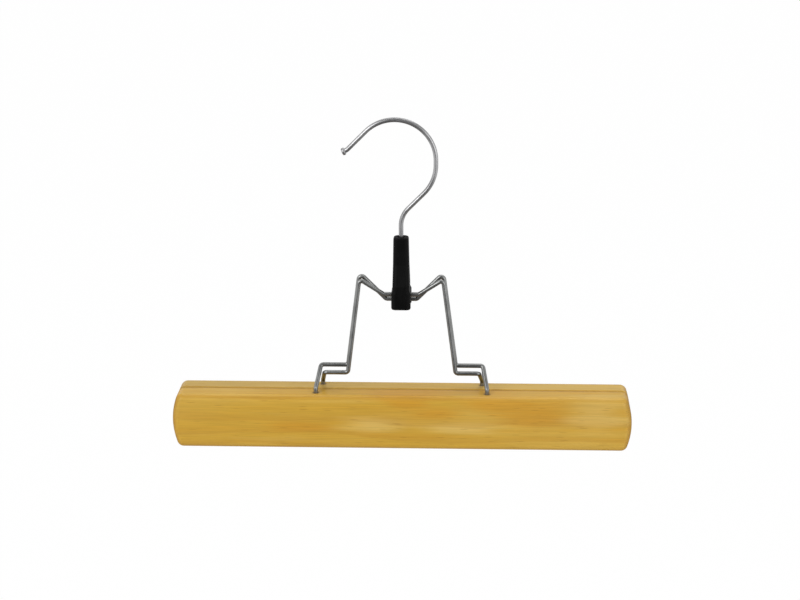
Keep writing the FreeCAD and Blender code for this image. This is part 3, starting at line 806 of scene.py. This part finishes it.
def floor_finish():
    """Pale matt floor that looks white, and keeps the hanger's shadow under it."""
    material = bpy.data.materials.new("pale_floor")
    material.use_nodes = True
    wiring = Wiring(material.node_tree)
    matt = wiring.add("ShaderNodeBsdfDiffuse", sockets={"Color": toned(WHITE, FLOOR_ALBEDO)})["BSDF"]
    seen, reflected = seen_directly(wiring)
    across, away, _ = wiring.axes(wiring.add("ShaderNodeTexCoord")["Object"])
    dimmed = wiring.between(abs(across), *MIRRORED_FLOOR_SIDES, 1 - MIRRORED_DIM, 0.0)
    glow = wiring.add("ShaderNodeEmission", sockets={
        "Color": wiring.grey(1 - reflected * dimmed), "Strength": 1.0})["Emission"]
    off_object = length_over(across, away)
    share = seen * wiring.between(off_object, *FLOOR_SHADOW_ZONE, FLOOR_GLOW_NEAR, FLOOR_GLOW_FAR)
    mixed = wiring.add("ShaderNodeMixShader", sockets={
        "Fac": share, "Shader": matt, "Shader_001": glow})["Shader"]
    wiring.add("ShaderNodeOutputMaterial", sockets={"Surface": mixed})
    return material


def lay_floor(level):
    side = FLOOR_HALF_WIDTH
    corners = [(-side, -side, level), (side, -side, level), (side, side, level), (-side, side, level)]
    mesh = bpy.data.meshes.new("studio_floor")
    mesh.from_pydata(corners, [], [(0, 1, 2, 3)])
    mesh.materials.append(floor_finish())
    floor = bpy.data.objects.new("studio_floor", mesh)
    bpy.context.scene.collection.objects.link(floor)


def soft_light(name, place, size, power):
    data = bpy.data.lights.new(name, "AREA")
    data.shape = "SQUARE"
    data.size = size
    data.energy = power
    lamp = bpy.data.objects.new(name, data)
    lamp.location = place
    lamp.rotation_euler = (Vector(LAMP_AIM) - Vector(place)).to_track_quat("-Z", "Y").to_euler()
    bpy.context.scene.collection.objects.link(lamp)


def set_camera():
    back = Vector((math.sin(VIEW_AZIMUTH) * math.cos(VIEW_ELEVATION),
                   -math.cos(VIEW_AZIMUTH) * math.cos(VIEW_ELEVATION),
                   math.sin(VIEW_ELEVATION)))
    data = bpy.data.cameras.new("camera")
    data.sensor_width = SENSOR_WIDTH
    data.lens = SENSOR_WIDTH * FOCAL_SHARE
    camera = bpy.data.objects.new("camera", data)
    camera.location = VIEW_TARGET + back * VIEW_DISTANCE
    level_view = (-back).to_track_quat("-Z", "Y")
    camera.rotation_euler = (level_view @ Quaternion((0, 0, 1), VIEW_ROLL)).to_euler()
    bpy.context.scene.collection.objects.link(camera)
    bpy.context.scene.camera = camera


# The hanger

def wear(node, material):
    """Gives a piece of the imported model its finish."""
    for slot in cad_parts[node].material_slots:
        slot.material = material


for bar, board in BOARDS.items():
    wear(bar, varnished_wood(bar, **board))
rail_seat = (0.0, 0.0, 0.0)
sleeve_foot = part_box("lock_sleeve")[0][2]
sleeve_mouth = (0.0, 0.0, sleeve_foot)
wear("hook", plated_wire("hook_plating", HOOK_TONE, HOOK_DRIFT, rail_seat, HOOK_WORN_REACH))
frame_plating = plated_wire("frame_plating", FRAME_TONE, FRAME_DRIFT, sleeve_mouth, FRAME_WORN_REACH)
wear("front_wire_frame", frame_plating)
wear("rear_wire_frame", frame_plating)
wear("lock_sleeve", black_plastic("sleeve_plastic", sleeve_foot))
wear("swivel_link", steel_strip("link_steel"))

# The felts: body, solid, the bar it lies on, which way its free face looks, seed and place in the grain
FELTS = (
    ("front_jaw", "front_felt", "front_bar", 1, 11, (0.11, 0.2, 0.3)),
    ("rear_jaw", "rear_felt", "rear_bar", -1, 23, (0.41, 0.6, 0.1)),
)
fuzz, fuzz_inputs = fuzz_tree()
for body, node, bar, free_side, seed, drift in FELTS:
    felt_finish = pressed_felt(f"{node}_cloth", drift)
    strip = felt_strip(f"{node}_strip", node, free_side)
    strip.data.materials.append(felt_finish)
    fibres = felt_fuzz(f"{node}_fuzz", strip, fuzz, fuzz_inputs, {
        "Density": FUZZ_DENSITY, "Fibre Length": FIBRE_LENGTH, "Fibre Radius": FIBRE_RADIUS,
        "Free Side": (0.0, float(free_side), 0.0), "Seed": seed, "Finish": felt_finish})
    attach(strip, body)
    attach(fibres, body)
    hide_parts(node)

# Light and view

set_camera()
light_world()
lay_floor(cad_box[0][2] - FLOOR_DROP)
for lamp in LAMPS:
    soft_light(*lamp)
bpy.context.scene.view_settings.view_transform = "Standard"
